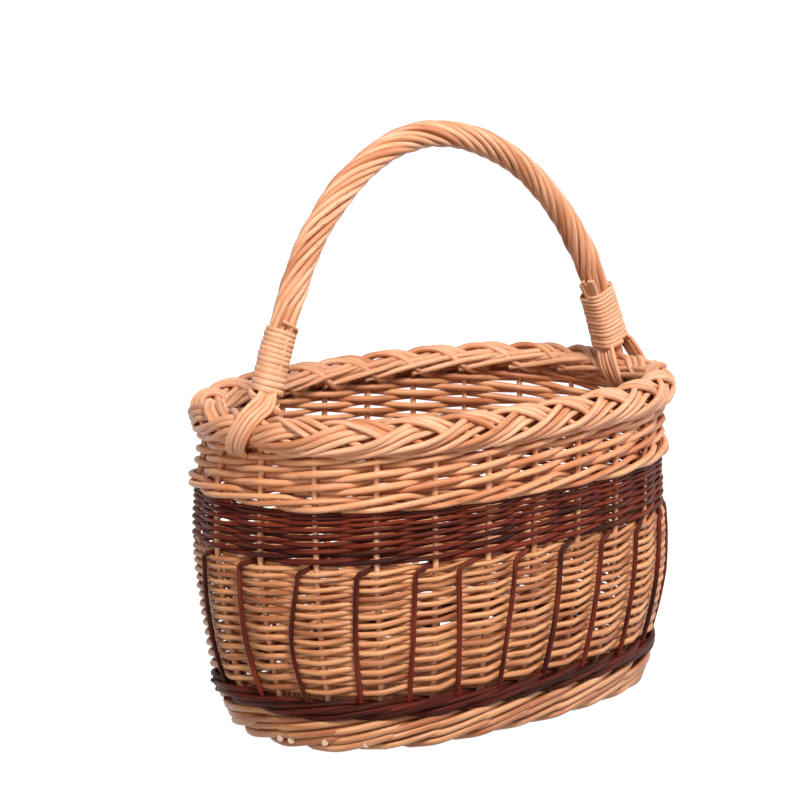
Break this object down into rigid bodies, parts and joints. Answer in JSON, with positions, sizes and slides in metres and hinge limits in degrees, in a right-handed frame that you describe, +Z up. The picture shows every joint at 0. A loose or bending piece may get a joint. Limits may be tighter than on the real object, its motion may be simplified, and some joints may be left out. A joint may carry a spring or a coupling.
{
  "type": "mushroom foraging basket",
  "caption": "Oval woven willow basket with a plaited border, a stained band, stained upright rods and a fixed roped handle bound at both feet.",
  "frame": {"origin": "middle of the foot's underside, on the surface that the basket stands on", "axes": "+Z up, X along the oval and in the plane of the handle, Y across the oval"},
  "size_m": [0.4094, 0.2617, 0.4469],
  "materials": {
    "peeled_willow": "peeled, buffed willow, satin",
    "pale_willow": "peeled pale willow, satin",
    "stained_willow": "willow stained dark red-brown, satin"
  },
  "bodies": {
    "root": {"base_sticks": "pale_willow", "base_weave": "peeled_willow", "foot_wale": "pale_willow", "lower_wale": "stained_willow", "light_wall": "peeled_willow", "dark_band": "stained_willow", "upper_wale": "pale_willow", "top_band": "peeled_willow", "border": "peeled_willow", "handle": "peeled_willow", "binding_left": "peeled_willow", "binding_right": "peeled_willow", "tails_left": "pale_willow", "tails_right": "pale_willow", "stake_01": "pale_willow", "stake_02": "pale_willow", "stake_03": "pale_willow", "stake_04": "pale_willow", "stake_05": "pale_willow", "stake_06": "pale_willow", "stake_07": "pale_willow", "stake_08": "pale_willow", "stake_09": "pale_willow", "stake_10": "pale_willow", "stake_11": "pale_willow", "stake_12": "pale_willow", "stake_13": "pale_willow", "stake_14": "pale_willow", "stake_15": "pale_willow", "stake_16": "pale_willow", "stake_17": "pale_willow", "stake_18": "pale_willow", "stake_19": "pale_willow", "stake_20": "pale_willow", "stake_21": "pale_willow", "stake_22": "pale_willow", "stake_23": "pale_willow", "dark_rod_01": "stained_willow", "dark_rod_02": "stained_willow", "dark_rod_03": "stained_willow", "dark_rod_04": "stained_willow", "dark_rod_05": "stained_willow", "dark_rod_06": "stained_willow", "dark_rod_07": "stained_willow", "dark_rod_08": "stained_willow", "dark_rod_09": "stained_willow", "dark_rod_10": "stained_willow", "dark_rod_11": "stained_willow", "dark_rod_12": "stained_willow", "dark_rod_13": "stained_willow", "dark_rod_14": "stained_willow", "dark_rod_15": "stained_willow", "dark_rod_16": "stained_willow", "dark_rod_17": "stained_willow", "dark_rod_18": "stained_willow", "dark_rod_19": "stained_willow", "dark_rod_20": "stained_willow", "dark_rod_21": "stained_willow", "dark_rod_22": "stained_willow", "dark_rod_23": "stained_willow"}
  },
  "joints": []
}
